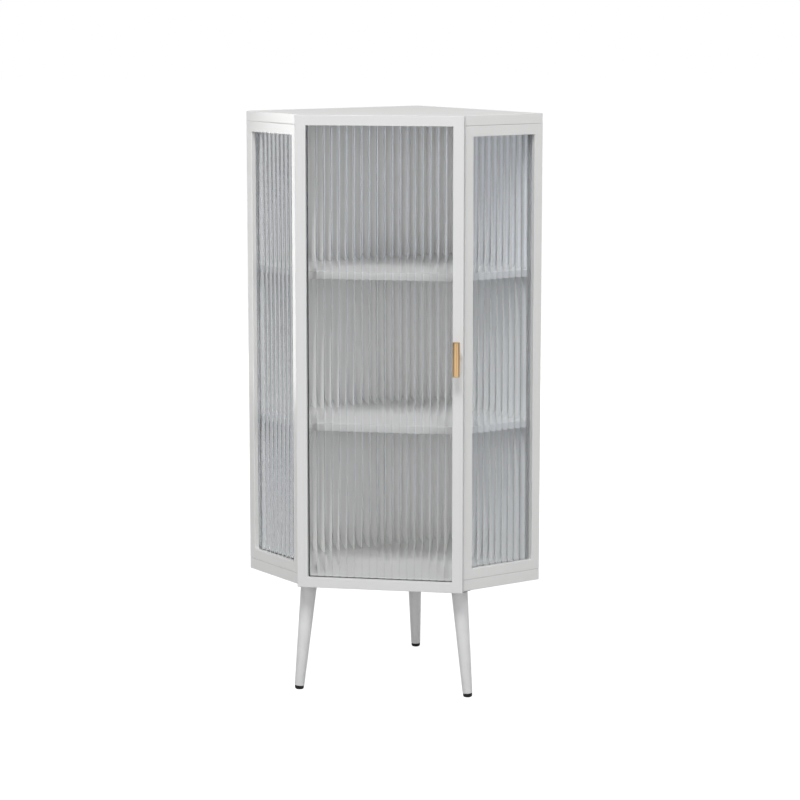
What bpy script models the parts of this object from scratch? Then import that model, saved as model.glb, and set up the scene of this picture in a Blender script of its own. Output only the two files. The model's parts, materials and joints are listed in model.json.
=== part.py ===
"""Corner cabinet with reeded glass in its door and sides, on three splayed legs.

Metres, +Z up. The floor is z = 0, the door faces -Y and the right-angled back
corner points to +Y. The two side panels stand square to the walls, so they run
at 45 degrees to the door.
"""
import math

import bmesh
import bpy
from mathutils import Matrix, Vector

# Overall sizes
DOOR_WIDTH = 0.360
SIDE_WIDTH = 0.203
LEG_HEIGHT = 0.237
CARCASS_HEIGHT = 1.013

# Board stock
BOTTOM_THICKNESS = 0.024
TOP_THICKNESS = 0.0215
FRAME_THICKNESS = 0.020
BACK_THICKNESS = 0.015
SHELF_THICKNESS = 0.016
EDGE_RADIUS = 0.001

# Clearances
SEAT_GAP = 0.0003
CUT_OVERRUN = 0.005

# Side frames
SIDE_STILE = 0.021
SIDE_RAIL = 0.0225

# Door
DOOR_THICKNESS = 0.020
DOOR_STILE = 0.023
DOOR_RAIL = 0.022
DOOR_GAP = 0.0016

# Reeded glass and its seat
GLASS_BODY = 0.0024
RIB_HEIGHT = 0.0036
RIB_PITCH = 0.0163
RIB_STEPS = 8
LIP_THICKNESS = 0.010
REBATE_WIDTH = 0.006
GLASS_EDGE_GAP = 0.001

# Shelves
SHELF_SETBACK = 0.020
SHELF_CLEARANCE = 0.0015
SHELF_NAMES = ("lower", "upper")

# Shelf pins
PIN_RADIUS = 0.0025
PIN_SHANK = 0.008
PIN_PEG = 0.008
PIN_COLLAR_RADIUS = 0.0035
PIN_COLLAR = 0.001
PIN_TIP = 0.0005
PIN_FRONT_INSET = 0.0095
PIN_SHOULDER_INSET = 0.060
PIN_CORNER_INSET = 0.090
PIN_SIDES = 12

# Flush hinges, one leaf nested in the other
HINGE_HEIGHT = 0.060
HINGE_END_INSET = 0.110
HINGE_BARREL_RADIUS = 0.0021
HINGE_PIN_RADIUS = 0.0011
HINGE_RUNNING_GAP = 0.0001
HINGE_AXIS_OUTSET = 0.0026
HINGE_PIN_HEAD = 0.0008
HINGE_PIN_HEAD_RADIUS = 0.0019
LEAF_THICKNESS = 0.001
FRAME_LEAF_REACH = 0.0205
DOOR_LEAF_REACH = 0.0145
DOOR_LEAF_HEIGHT = 0.030
LEAF_NEST_GAP = 0.0004
HINGE_NAMES = ("lower", "middle", "upper")
HINGE_SIDES = 16

# Handle
HANDLE_INSET = 0.0115
HANDLE_PROJECTION = 0.030
HANDLE_BAR_LENGTH = 0.073
HANDLE_BAR_RADIUS = 0.0074
HANDLE_BAR_CHAMFER = 0.001
HANDLE_POST_RADIUS = 0.005
HANDLE_SCREW_RADIUS = 0.002
HANDLE_SCREW_HEAD_RADIUS = 0.0035
HANDLE_SCREW_HEAD = 0.0022
HANDLE_SCREW_BITE = 0.010
HANDLE_COUNTERBORE = 0.003
HANDLE_SIDES = 28

# Magnetic catches and door bumpers
CATCH_INSET = 0.008
CATCH_END_INSET = 0.080
MAGNET_RADIUS = 0.004
MAGNET_LENGTH = 0.010
CATCH_PLATE_RADIUS = 0.0055
BUMPER_INSET = 0.010
BUMPER_END_INSET = 0.040
BUMPER_RADIUS = 0.004
CATCH_NAMES = ("lower", "upper")
CATCH_SIDES = 20

# Legs
FRONT_LEG_INSET = 0.015
FRONT_LEG_SETBACK = 0.0305
BACK_LEG_SETBACK = 0.056
LEG_SPLAY_RUN = 0.024
FRONT_SPLAY_TURN = math.radians(27)
LEG_TOP_RADIUS = 0.0175
LEG_FOOT_RADIUS = 0.0105
LEG_EDGE = 0.001
LEG_SIDES = 32

# Leg plates and bolts
PLATE_RADIUS = 0.028
PLATE_THICKNESS = 0.002
PLATE_BOSS_RADIUS = 0.016
PLATE_DROP = 0.0075
PLATE_HOLE_RADIUS = 0.0022
PLATE_HOLE_CIRCLE = 0.0225
PLATE_HOLES = 3
BOLT_RADIUS = 0.004
BOLT_BITE = 0.030
BOLT_TOP_CLEARANCE = 0.0015

# Foot glides
GLIDE_RADIUS = 0.010
GLIDE_HEIGHT = 0.0078
GLIDE_CROWN = 0.004
GLIDE_FLAT_RADIUS = 0.0065
GLIDE_STEM_RADIUS = 0.003
GLIDE_STEM = 0.012
GLIDE_ARC_STEPS = 3

# Plan of the carcass, worked out from the sizes above
DIAGONAL = math.sqrt(0.5)
SIDE_RUN = SIDE_WIDTH * DIAGONAL
HALF_DOOR = DOOR_WIDTH / 2
HALF_WIDTH = HALF_DOOR + SIDE_RUN
WALL_WIDTH = HALF_WIDTH / DIAGONAL
CARCASS_DEPTH = SIDE_RUN + HALF_WIDTH
OVERALL_DEPTH = HANDLE_PROJECTION + DOOR_THICKNESS + DOOR_GAP + CARCASS_DEPTH
DOOR_FRONT_Y = HANDLE_PROJECTION - OVERALL_DEPTH / 2
DOOR_BACK_Y = DOOR_FRONT_Y + DOOR_THICKNESS
FRONT_Y = DOOR_BACK_Y + DOOR_GAP
SHOULDER_Y = FRONT_Y + SIDE_RUN
CORNER_Y = SHOULDER_Y + HALF_WIDTH

# Heights, worked out from the sizes above
CARCASS_TOP = LEG_HEIGHT + CARCASS_HEIGHT
FLOOR_TOP = LEG_HEIGHT + BOTTOM_THICKNESS
CEILING = CARCASS_TOP - TOP_THICKNESS
PANEL_HEIGHT = CEILING - FLOOR_TOP - 2 * SEAT_GAP
PANEL_BASE = FLOOR_TOP + SEAT_GAP
SHELF_COUNT = len(SHELF_NAMES)
BAY_HEIGHT = (CEILING - FLOOR_TOP - SHELF_COUNT * SHELF_THICKNESS) / (SHELF_COUNT + 1)

# Turns of the pieces that follow the side panels and the walls
SIDE_TURN = math.radians(45)
WALL_TURN = math.radians(135)

GLASS_THICKNESS = GLASS_BODY + RIB_HEIGHT
BEAD_START = LIP_THICKNESS + GLASS_THICKNESS + 2 * SEAT_GAP
LEG_TILT = math.atan2(LEG_SPLAY_RUN, LEG_HEIGHT)
LEG_AXIS_LENGTH = math.hypot(LEG_SPLAY_RUN, LEG_HEIGHT)
HINGE_AXIS = Vector((-HALF_DOOR - HINGE_AXIS_OUTSET, DOOR_BACK_Y + DOOR_GAP / 2, 0))


def clear_scene():
    """Remove what the scene holds, so that the cabinet is built alone."""
    for item in list(bpy.data.objects):
        bpy.data.objects.remove(item, do_unlink=True)


def make_collection(name):
    """Return a new collection linked to the scene."""
    group = bpy.data.collections.new(name)
    bpy.context.scene.collection.children.link(group)
    return group


clear_scene()
CABINET = make_collection("corner_cabinet")
CUTTERS = make_collection("corner_cabinet_cutters")


def make_finish(name, colour, roughness, metallic=0.0, transmission=0.0):
    """Return a Principled material."""
    finish = bpy.data.materials.new(name)
    finish.use_nodes = True
    shader = finish.node_tree.nodes["Principled BSDF"]
    shader.inputs["Base Color"].default_value = (*colour, 1.0)
    shader.inputs["Roughness"].default_value = roughness
    shader.inputs["Metallic"].default_value = metallic
    shader.inputs["Transmission Weight"].default_value = transmission
    finish.diffuse_color = (*colour, 1.0)
    return finish


WHITE_LACQUER = make_finish("white_lacquer", (0.80, 0.80, 0.80), 0.35)
REEDED_GLASS = make_finish("reeded_glass", (0.90, 0.94, 0.95), 0.02, transmission=1.0)
BEAD_PLASTIC = make_finish("bead_plastic", (0.74, 0.74, 0.74), 0.45)
BRASS = make_finish("satin_brass", (0.78, 0.50, 0.24), 0.28, metallic=1.0)
NICKEL_STEEL = make_finish("nickel_steel", (0.62, 0.62, 0.60), 0.30, metallic=1.0)
ZINC_STEEL = make_finish("zinc_steel", (0.50, 0.51, 0.52), 0.42, metallic=1.0)
WHITE_STEEL = make_finish("white_steel", (0.76, 0.76, 0.76), 0.40)
MAGNET_NICKEL = make_finish("magnet_nickel", (0.55, 0.55, 0.55), 0.25, metallic=1.0)
CLEAR_RUBBER = make_finish("clear_rubber", (0.75, 0.76, 0.76), 0.35)
BLACK_PLASTIC = make_finish("black_plastic", (0.012, 0.012, 0.012), 0.40)


def place(name, mesh, group, location=(0, 0, 0), turn=0.0, finish=None):
    """Put a mesh in the scene as an object at a location, turned about Z."""
    item = bpy.data.objects.new(name, mesh)
    group.objects.link(item)
    item.location = location
    item.rotation_euler = (0, 0, turn)
    if finish is not None:
        item.data.materials.append(finish)
    return item


def box_mesh(name, low, high):
    """Return a box between two corners, from a unit cube."""
    shape = bmesh.new()
    bmesh.ops.create_cube(shape, size=1.0)
    low, high = Vector(low), Vector(high)
    bmesh.ops.scale(shape, vec=high - low, verts=shape.verts)
    bmesh.ops.translate(shape, vec=(low + high) / 2, verts=shape.verts)
    mesh = bpy.data.meshes.new(name)
    shape.to_mesh(mesh)
    shape.free()
    return mesh


def rod_mesh(name, radius, start, end, sides):
    """Return a closed cylinder between two points."""
    start, end = Vector(start), Vector(end)
    along = end - start
    turn = Vector((0, 0, 1)).rotation_difference(along).to_matrix().to_4x4()
    shape = bmesh.new()
    bmesh.ops.create_cone(
        shape, cap_ends=True, segments=sides, radius1=radius, radius2=radius, depth=along.length,
        matrix=Matrix.Translation((start + end) / 2) @ turn,
    )
    mesh = bpy.data.meshes.new(name)
    shape.to_mesh(mesh)
    shape.free()
    return mesh


def outline_mesh(name, loops, low, high):
    """Return the solid between heights low and high over flat outlines, the first around the rest."""
    curve = bpy.data.curves.new(name, "CURVE")
    curve.dimensions = "2D"
    curve.fill_mode = "BOTH"
    curve.extrude = (high - low) / 2
    for loop in loops:
        spline = curve.splines.new("POLY")
        spline.points.add(len(loop) - 1)
        for point, (x, y) in zip(spline.points, loop):
            point.co = (x, y, 0, 1)
        spline.use_cyclic_u = True
    flat = bpy.data.objects.new(name, curve)
    CUTTERS.objects.link(flat)
    bpy.context.view_layer.update()
    mesh = bpy.data.meshes.new_from_object(flat.evaluated_get(bpy.context.evaluated_depsgraph_get()))
    bpy.data.objects.remove(flat)
    bpy.data.curves.remove(curve)
    shape = bmesh.new()
    shape.from_mesh(mesh)
    bmesh.ops.remove_doubles(shape, verts=shape.verts, dist=SEAT_GAP / 100)
    bmesh.ops.dissolve_limit(
        shape, angle_limit=math.radians(0.1), verts=shape.verts, edges=shape.edges,
        use_dissolve_boundaries=False,
    )
    bmesh.ops.translate(shape, vec=(0, 0, (low + high) / 2), verts=shape.verts)
    bmesh.ops.recalc_face_normals(shape, faces=shape.faces)
    shape.to_mesh(mesh)
    shape.free()
    mesh.name = name
    return mesh


def turned_object(name, profile, sides, group, finish=None):
    """Return a solid turned about Z from a profile of (radius, height), top to bottom."""
    mesh = bpy.data.meshes.new(name)
    points = [(radius, 0, height) for radius, height in profile]
    mesh.from_pydata(points, [(i, i + 1) for i in range(len(points) - 1)], [])
    item = place(name, mesh, group, finish=finish)
    lathe = item.modifiers.new("turned", "SCREW")
    lathe.axis = "Z"
    lathe.steps = sides
    lathe.render_steps = sides
    lathe.use_merge_vertices = True
    lathe.merge_threshold = SEAT_GAP / 100
    lathe.use_smooth_shade = True
    return item


def cutter(name, mesh, location=(0, 0, 0), turn=0.0):
    """Return a hidden object that cuts or joins others."""
    item = place(name, mesh, CUTTERS, location, turn)
    item.hide_render = True
    item.display_type = "WIRE"
    return item


def combine(item, tool, operation):
    """Cut or join a solid with a hidden one."""
    step = item.modifiers.new(operation.lower(), "BOOLEAN")
    step.operation = operation
    step.solver = "EXACT"
    step.object = tool


def round_edges(item, radius, segments=2):
    """Ease every edge that the modifiers so far have left."""
    step = item.modifiers.new("eased_edges", "BEVEL")
    step.width = radius
    step.segments = segments
    step.limit_method = "ANGLE"
    step.angle_limit = math.radians(30)
    step.miter_outer = "MITER_SHARP"


def smooth(item):
    """Shade a round piece smooth, with its sharp edges kept."""
    item.data.shade_smooth()
    item.data.set_sharp_from_angle(angle=math.radians(35))


def hang(item, axis):
    """Parent a piece to the empty on the hinge axis, where it stands."""
    item.location = Vector(item.location) - axis.location
    item.parent = axis


def plan_outline(front_inset, side_inset, wall_inset):
    """Return the five plan corners of the carcass, each face moved inwards by its inset."""
    spread = (side_inset - wall_inset) * DIAGONAL
    shoulder_x = HALF_WIDTH - (side_inset + wall_inset) * DIAGONAL
    shoulder_y = SHOULDER_Y + spread
    front_x = HALF_DOOR + front_inset - side_inset / DIAGONAL
    front_y = FRONT_Y + front_inset
    back_y = CORNER_Y - wall_inset / DIAGONAL
    return [
        (-front_x, front_y), (front_x, front_y), (shoulder_x, shoulder_y),
        (0, back_y), (-shoulder_x, shoulder_y),
    ]


def side_point(hand, along, inward):
    """Return the plan place that lies along a side panel from its front corner, and inward of its face."""
    x = HALF_DOOR + (along - inward) * DIAGONAL
    y = FRONT_Y + (along + inward) * DIAGONAL
    return hand * x, y


def build_boards():
    """Top and bottom boards, whose edges show all round and behind the door."""
    outline = [plan_outline(0, 0, 0)]
    for name, low, high in (("bottom_board", LEG_HEIGHT, FLOOR_TOP), ("top_board", CEILING, CARCASS_TOP)):
        board = place(name, outline_mesh(name, outline, low, high), CABINET, finish=WHITE_LACQUER)
        round_edges(board, EDGE_RADIUS)


def cut_glass_seat(frame, low_x, high_x, low_z, high_z):
    """Cut an opening through a frame, ease its edges, then cut the glass rebate from behind."""
    turn = frame.rotation_euler.z
    behind = FRAME_THICKNESS + CUT_OVERRUN
    opening = box_mesh("opening", (low_x, -CUT_OVERRUN, low_z), (high_x, behind, high_z))
    combine(frame, cutter(frame.name + "_opening", opening, frame.location, turn), "DIFFERENCE")
    round_edges(frame, EDGE_RADIUS)
    low = (low_x - REBATE_WIDTH, LIP_THICKNESS, low_z - REBATE_WIDTH)
    high = (high_x + REBATE_WIDTH, behind, high_z + REBATE_WIDTH)
    rebate = box_mesh("rebate", low, high)
    combine(frame, cutter(frame.name + "_rebate", rebate, frame.location, turn), "DIFFERENCE")


def rib_rise(across):
    """Return how far the ribs stand out at a distance from the middle rib's crest: circular arcs."""
    arc_radius = RIB_PITCH ** 2 / (8 * RIB_HEIGHT) + RIB_HEIGHT / 2
    offset = across - round(across / RIB_PITCH) * RIB_PITCH
    return RIB_HEIGHT - arc_radius + math.sqrt(arc_radius ** 2 - offset ** 2)


def reeded_section(centre, width):
    """Return a pane's plan outline: ribs on the outer face, flat on the inner one."""
    step = RIB_PITCH / RIB_STEPS
    reach = int(width / 2 / step)
    places = [-width / 2] + [count * step for count in range(-reach, reach + 1)] + [width / 2]
    outer = [(centre + x, RIB_HEIGHT - rib_rise(x)) for x in places]
    return outer + [(centre + width / 2, GLASS_THICKNESS), (centre - width / 2, GLASS_THICKNESS)]


def build_pane(name, frame, low_x, high_x, low_z, high_z):
    """Reeded pane in the rebate of a frame whose opening has these limits in the frame's own axes."""
    bite = REBATE_WIDTH - GLASS_EDGE_GAP
    section = reeded_section((low_x + high_x) / 2, high_x - low_x + 2 * bite)
    mesh = outline_mesh(name, [section], low_z - bite, high_z + bite)
    pane = place(name, mesh, CABINET, finish=REEDED_GLASS)
    turn = Matrix.Rotation(frame.rotation_euler.z, 4, "Z")
    pane.location = frame.location + turn @ Vector((0, LIP_THICKNESS + SEAT_GAP, 0))
    pane.rotation_euler = frame.rotation_euler
    return pane


def build_bead(name, frame, low_x, high_x, low_z, high_z):
    """Glazing bead behind a pane, a slim ring that fills the rebate up to the frame's inner face."""
    reach = REBATE_WIDTH - SEAT_GAP
    outer = [
        (low_x - reach, low_z - reach), (high_x + reach, low_z - reach),
        (high_x + reach, high_z + reach), (low_x - reach, high_z + reach),
    ]
    inner = [(low_x, low_z), (high_x, low_z), (high_x, high_z), (low_x, high_z)]
    mesh = outline_mesh(name, [outer, inner], BEAD_START, FRAME_THICKNESS)
    mesh.transform(Matrix(((1, 0, 0, 0), (0, 0, 1, 0), (0, 1, 0, 0), (0, 0, 0, 1))))
    mesh.flip_normals()
    bead = place(name, mesh, CABINET, frame.location, frame.rotation_euler.z, BEAD_PLASTIC)
    return bead


def drill(item, radius, mouth, inward, depth, sides=PIN_SIDES):
    """Sink a blind hole in a solid from its mouth, given in the item's own axes."""
    mouth, inward = Vector(mouth), Vector(inward)
    mesh = rod_mesh("hole", radius, mouth - inward * CUT_OVERRUN, mouth + inward * depth, sides)
    tool = cutter(f"{item.name}_hole_{len(item.modifiers)}", mesh, item.location, item.rotation_euler.z)
    combine(item, tool, "DIFFERENCE")


def shelf_base(index):
    """Return the underside of a shelf, counted from the lowest: all bays are equally high."""
    return FLOOR_TOP + (index + 1) * BAY_HEIGHT + index * SHELF_THICKNESS


def pin_height(index):
    """Return the height of the pins' centre line under a shelf."""
    return shelf_base(index) - SEAT_GAP - PIN_RADIUS


def build_side(hand, name):
    """One side: a routed frame, mitred at the front to lie along the door, its pane and its bead."""
    mitre = hand * FRAME_THICKNESS
    far_end = hand * SIDE_WIDTH
    outline = [(0, 0), (far_end, 0), (far_end, FRAME_THICKNESS), (-mitre, FRAME_THICKNESS)]
    mesh = outline_mesh(name + "_side_frame", [outline], 0, PANEL_HEIGHT)
    place_at = (hand * HALF_DOOR, FRONT_Y, PANEL_BASE)
    frame = place(name + "_side_frame", mesh, CABINET, place_at, hand * SIDE_TURN, WHITE_LACQUER)
    ends = sorted((hand * SIDE_STILE, hand * (SIDE_WIDTH - SIDE_STILE)))
    limits = (ends[0], ends[1], SIDE_RAIL, PANEL_HEIGHT - SIDE_RAIL)
    cut_glass_seat(frame, *limits)
    build_pane(name + "_side_glass", frame, *limits)
    build_bead(name + "_side_glass_bead", frame, *limits)
    for index in range(SHELF_COUNT):
        mouth = (hand * PIN_FRONT_INSET, FRAME_THICKNESS, pin_height(index) - PANEL_BASE)
        drill(frame, PIN_RADIUS + SEAT_GAP, mouth, (0, -1, 0), PIN_SHANK + SEAT_GAP)
    return frame


def build_back(hand, name, far_end):
    """One wall panel, from the side frame's inner face to its far end along the wall."""
    start = FRAME_THICKNESS + SEAT_GAP
    ends = sorted((hand * start, hand * far_end))
    mesh = box_mesh(name, (ends[0], 0, 0), (ends[1], BACK_THICKNESS, PANEL_HEIGHT))
    place_at = (hand * HALF_WIDTH, SHOULDER_Y, PANEL_BASE)
    panel = place(name + "_back_panel", mesh, CABINET, place_at, hand * WALL_TURN, WHITE_LACQUER)
    round_edges(panel, EDGE_RADIUS / 2)
    for index in range(SHELF_COUNT):
        for along in (PIN_SHOULDER_INSET, WALL_WIDTH - PIN_CORNER_INSET):
            mouth = (hand * along, BACK_THICKNESS, pin_height(index) - PANEL_BASE)
            drill(panel, PIN_RADIUS + SEAT_GAP, mouth, (0, -1, 0), PIN_SHANK + SEAT_GAP)


def build_shelves():
    """Two loose shelves, clear of the frames and walls all round."""
    inset = FRAME_THICKNESS + SHELF_CLEARANCE
    outline = [plan_outline(SHELF_SETBACK, inset, BACK_THICKNESS + SHELF_CLEARANCE)]
    for index, label in enumerate(SHELF_NAMES):
        low = shelf_base(index)
        name = label + "_shelf"
        mesh = outline_mesh(name, outline, low, low + SHELF_THICKNESS)
        shelf = place(name, mesh, CABINET, finish=WHITE_LACQUER)
        round_edges(shelf, EDGE_RADIUS)


def build_pin(name, foot, turn, height):
    """Turned shelf pin: shank in the panel, collar on its face, peg under the shelf."""
    profile = [
        (0, PIN_COLLAR + PIN_PEG),
        (PIN_RADIUS - PIN_TIP, PIN_COLLAR + PIN_PEG),
        (PIN_RADIUS, PIN_COLLAR + PIN_PEG - PIN_TIP),
        (PIN_RADIUS, PIN_COLLAR),
        (PIN_COLLAR_RADIUS, PIN_COLLAR),
        (PIN_COLLAR_RADIUS, SEAT_GAP),
        (PIN_RADIUS, SEAT_GAP),
        (PIN_RADIUS, PIN_TIP - PIN_SHANK),
        (PIN_RADIUS - PIN_TIP, -PIN_SHANK),
        (0, -PIN_SHANK),
    ]
    pin = turned_object(name, profile, PIN_SIDES, CABINET, NICKEL_STEEL)
    pin.location = (*foot, height)
    pin.rotation_euler = (-math.pi / 2, 0, turn)
    return pin


def wall_point(hand, along, inward):
    """Return the plan place that lies along a wall from its shoulder, and inward of its face."""
    x = HALF_WIDTH - (along + inward) * DIAGONAL
    y = SHOULDER_Y + (along - inward) * DIAGONAL
    return hand * x, y


def build_pins():
    """Six pins under each shelf: one in each front stile and two in each wall panel."""
    for index, label in enumerate(SHELF_NAMES):
        for hand, side in ((-1, "left"), (1, "right")):
            height = pin_height(index)
            front = side_point(hand, PIN_FRONT_INSET, FRAME_THICKNESS)
            build_pin(f"{label}_shelf_pin_{side}_front", front, hand * SIDE_TURN, height)
            for place_name, along in (
                ("shoulder", PIN_SHOULDER_INSET), ("corner", WALL_WIDTH - PIN_CORNER_INSET),
            ):
                foot = wall_point(hand, along, BACK_THICKNESS)
                build_pin(f"{label}_shelf_pin_{side}_{place_name}", foot, hand * WALL_TURN, height)


def build_door(axis):
    """Door: a routed frame with its pane and bead, hung on the hinge axis."""
    mesh = box_mesh("door_frame", (-HALF_DOOR, 0, 0), (HALF_DOOR, DOOR_THICKNESS, CARCASS_HEIGHT))
    frame = place("door_frame", mesh, CABINET, (0, DOOR_FRONT_Y, LEG_HEIGHT), finish=WHITE_LACQUER)
    half_opening = HALF_DOOR - DOOR_STILE
    limits = (-half_opening, half_opening, DOOR_RAIL, CARCASS_HEIGHT - DOOR_RAIL)
    cut_glass_seat(frame, *limits)
    handle_x = HALF_DOOR - HANDLE_INSET
    middle = CARCASS_HEIGHT / 2
    bore = (handle_x, DOOR_THICKNESS, middle)
    drill(frame, HANDLE_SCREW_RADIUS + SEAT_GAP, bore, (0, -1, 0), DOOR_THICKNESS + CUT_OVERRUN)
    drill(frame, HANDLE_SCREW_HEAD_RADIUS + SEAT_GAP, bore, (0, -1, 0), HANDLE_COUNTERBORE)
    pane = build_pane("door_glass", frame, *limits)
    bead = build_bead("door_glass_bead", frame, *limits)
    for item in (frame, pane, bead):
        hang(item, axis)


def hinge_heights():
    """Return the centre heights of the three hinges, lowest first."""
    low = LEG_HEIGHT + HINGE_END_INSET
    high = CARCASS_TOP - HINGE_END_INSET
    return [low, (low + high) / 2, high]


def hinge_bore(name, location):
    """Return the hidden bore that both leaves of a hinge are drilled with."""
    reach = HINGE_HEIGHT / 2 + CUT_OVERRUN
    mesh = rod_mesh(name, HINGE_PIN_RADIUS + HINGE_RUNNING_GAP, (0, 0, -reach), (0, 0, reach), HINGE_SIDES)
    return cutter(name, mesh, location)


def build_hinge(label, height, axis):
    """Flush hinge: a notched leaf on the frame, a leaf nested in it on the door, and a pin."""
    location = (HINGE_AXIS.x, HINGE_AXIS.y, height)
    half = HINGE_HEIGHT / 2
    nest = DOOR_LEAF_HEIGHT / 2 + LEAF_NEST_GAP
    leaf_half = LEAF_THICKNESS / 2
    bore = hinge_bore(f"{label}_hinge_bore", location)

    name = f"{label}_hinge_frame_leaf"
    plate = box_mesh(name, (0, -leaf_half, -half), (FRAME_LEAF_REACH, leaf_half, half))
    leaf = place(name, plate, CABINET, location, finish=WHITE_STEEL)
    notch = box_mesh(
        name, (-CUT_OVERRUN, -CUT_OVERRUN, -nest), (DOOR_LEAF_REACH + LEAF_NEST_GAP, CUT_OVERRUN, nest)
    )
    combine(leaf, cutter(name + "_notch", notch, location), "DIFFERENCE")
    for end, sign in (("lower", -1), ("upper", 1)):
        barrel = rod_mesh(name, HINGE_BARREL_RADIUS, (0, 0, sign * nest), (0, 0, sign * half), HINGE_SIDES)
        combine(leaf, cutter(f"{name}_{end}_barrel", barrel, location), "UNION")
    combine(leaf, bore, "DIFFERENCE")

    name = f"{label}_hinge_door_leaf"
    half_leaf = DOOR_LEAF_HEIGHT / 2
    plate = box_mesh(name, (0, -leaf_half, -half_leaf), (DOOR_LEAF_REACH, leaf_half, half_leaf))
    leaf = place(name, plate, CABINET, location, finish=WHITE_STEEL)
    barrel = rod_mesh(name, HINGE_BARREL_RADIUS, (0, 0, -half_leaf), (0, 0, half_leaf), HINGE_SIDES)
    combine(leaf, cutter(name + "_barrel", barrel, location), "UNION")
    combine(leaf, bore, "DIFFERENCE")
    hang(leaf, axis)

    end = half + HINGE_RUNNING_GAP
    brow = end + HINGE_PIN_HEAD / 2
    tip = end + HINGE_PIN_HEAD
    neck = HINGE_PIN_HEAD_RADIUS - HINGE_PIN_HEAD / 2
    profile = [
        (0, tip), (neck, tip), (HINGE_PIN_HEAD_RADIUS, brow), (HINGE_PIN_HEAD_RADIUS, end),
        (HINGE_PIN_RADIUS, end), (HINGE_PIN_RADIUS, -end),
        (HINGE_PIN_HEAD_RADIUS, -end), (HINGE_PIN_HEAD_RADIUS, -brow), (neck, -tip), (0, -tip),
    ]
    pin = turned_object(f"{label}_hinge_pin", profile, HINGE_SIDES, CABINET, WHITE_STEEL)
    pin.location = location


def build_handle(axis):
    """T-bar handle: a round bar on one post, held by a screw from inside the door."""
    location = (HALF_DOOR - HANDLE_INSET, DOOR_FRONT_Y, LEG_HEIGHT + CARCASS_HEIGHT / 2)
    half = HANDLE_BAR_LENGTH / 2
    rim = HANDLE_BAR_RADIUS - HANDLE_BAR_CHAMFER
    profile = [
        (0, half), (rim, half), (HANDLE_BAR_RADIUS, half - HANDLE_BAR_CHAMFER),
        (HANDLE_BAR_RADIUS, HANDLE_BAR_CHAMFER - half), (rim, -half), (0, -half),
    ]
    bar_y = HANDLE_BAR_RADIUS - HANDLE_PROJECTION
    post = rod_mesh("door_handle", HANDLE_POST_RADIUS, (0, -SEAT_GAP, 0), (0, bar_y, 0), HANDLE_SIDES)
    handle = place("door_handle", post, CABINET, location, finish=BRASS)
    bar = turned_object("door_handle_bar", profile, HANDLE_SIDES, CUTTERS)
    bar.location = Vector(location) + Vector((0, bar_y, 0))
    bar.hide_render = True
    bar.display_type = "WIRE"
    combine(handle, bar, "UNION")
    bite = HANDLE_SCREW_BITE + SEAT_GAP
    drill(handle, HANDLE_SCREW_RADIUS + SEAT_GAP, (0, 0, 0), (0, -1, 0), bite, HANDLE_SIDES)
    smooth(handle)
    hang(handle, axis)

    under_head = HANDLE_SCREW_BITE + DOOR_THICKNESS - HANDLE_COUNTERBORE + SEAT_GAP
    top = under_head + HANDLE_SCREW_HEAD
    profile = [
        (0, top), (HANDLE_SCREW_HEAD_RADIUS, top), (HANDLE_SCREW_HEAD_RADIUS, under_head),
        (HANDLE_SCREW_RADIUS, under_head), (HANDLE_SCREW_RADIUS, 0), (0, 0),
    ]
    screw = turned_object("handle_screw", profile, HANDLE_SIDES, CABINET, ZINC_STEEL)
    screw.location = (location[0], DOOR_FRONT_Y - HANDLE_SCREW_BITE, location[2])
    screw.rotation_euler = (-math.pi / 2, 0, 0)
    hang(screw, axis)


def build_catches(right_frame, axis):
    """Magnets let into the right front stile, their steel discs on the door, and two bumpers."""
    disc_start = DOOR_BACK_Y + SEAT_GAP
    disc_end = FRONT_Y - SEAT_GAP
    for label, sign in zip(CATCH_NAMES, (-1, 1)):
        middle = LEG_HEIGHT + CARCASS_HEIGHT / 2
        height = middle + sign * (CARCASS_HEIGHT / 2 - CATCH_END_INSET)
        x = HALF_DOOR - CATCH_INSET
        location = (x, FRONT_Y, height)
        mesh = rod_mesh("magnet", MAGNET_RADIUS, (0, 0, 0), (0, MAGNET_LENGTH, 0), CATCH_SIDES)
        magnet = place(f"{label}_catch_magnet", mesh, CABINET, location, finish=MAGNET_NICKEL)
        smooth(magnet)
        end = MAGNET_LENGTH + SEAT_GAP
        radius = MAGNET_RADIUS + SEAT_GAP
        seat = rod_mesh("magnet_seat", radius, (0, -CUT_OVERRUN, 0), (0, end, 0), CATCH_SIDES)
        combine(right_frame, cutter(f"{label}_magnet_seat", seat, location), "DIFFERENCE")
        start = (x, disc_start, height)
        mesh = rod_mesh("disc", CATCH_PLATE_RADIUS, start, (x, disc_end, height), CATCH_SIDES)
        plate = place(f"{label}_catch_plate", mesh, CABINET, finish=ZINC_STEEL)
        smooth(plate)
        hang(plate, axis)
        x = HALF_DOOR - BUMPER_INSET
        height = middle + sign * (CARCASS_HEIGHT / 2 - BUMPER_END_INSET)
        start = (x, disc_start, height)
        mesh = rod_mesh("bumper", BUMPER_RADIUS, start, (x, disc_end, height), CATCH_SIDES)
        bumper = place(f"{label}_door_bumper", mesh, CABINET, finish=CLEAR_RUBBER)
        smooth(bumper)


def leg_places():
    """Return each leg's name, its top centre in plan and the compass turn of its splay."""
    x = HALF_DOOR - FRONT_LEG_INSET
    y = FRONT_Y + FRONT_LEG_SETBACK
    return [
        ("front_left", (-x, y), math.pi + FRONT_SPLAY_TURN),
        ("front_right", (x, y), -FRONT_SPLAY_TURN),
        ("back", (0, CORNER_Y - BACK_LEG_SETBACK), math.pi / 2),
    ]


def tilt(item, foot, turn):
    """Stand a turned piece on the leg's axis, which meets the bottom board at its foot point."""
    item.location = (*foot, LEG_HEIGHT)
    item.rotation_euler = (0, -LEG_TILT, turn)


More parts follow.
